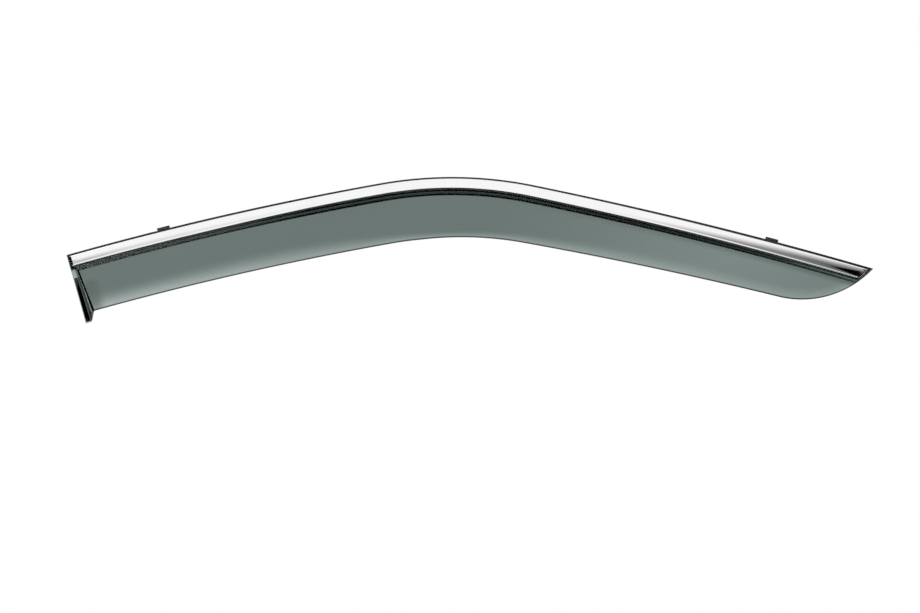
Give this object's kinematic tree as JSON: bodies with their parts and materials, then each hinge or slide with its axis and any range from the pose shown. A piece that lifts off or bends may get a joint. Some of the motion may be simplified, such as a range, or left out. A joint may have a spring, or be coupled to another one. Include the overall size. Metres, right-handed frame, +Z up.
{
  "type": "window rain deflector",
  "caption": "Smoked clear deflector that hoods the top of a car's front side window, with a bright trim, a closed rear end and clips over the door's edge.",
  "frame": {"origin": "on the door face of the middle tape, 7.3 mm under the highest point of the top edge", "axes": "+X to the front of the car along the door, +Z up, -Y away from the door, as mounted on a right-hand front door"},
  "size_m": [0.9489, 0.0322, 0.1722],
  "materials": {
    "smoked_plastic": "clear grey-green smoked acrylic, 2.2 mm thick and thinner towards the front, polished",
    "bright_trim": "mirror chrome over a crowned strip",
    "foam_tape": "black closed-cell foam with adhesive on both faces",
    "spring_steel": "blued spring strip, as rolled"
  },
  "bodies": {
    "root": {"visor_moulding": "smoked_plastic", "chrome_trim": "bright_trim", "tape_rear": "foam_tape", "tape_middle": "foam_tape", "tape_front": "foam_tape", "foot_pad": "foam_tape", "clip_rear": "spring_steel", "clip_front": "spring_steel"}
  },
  "joints": []
}
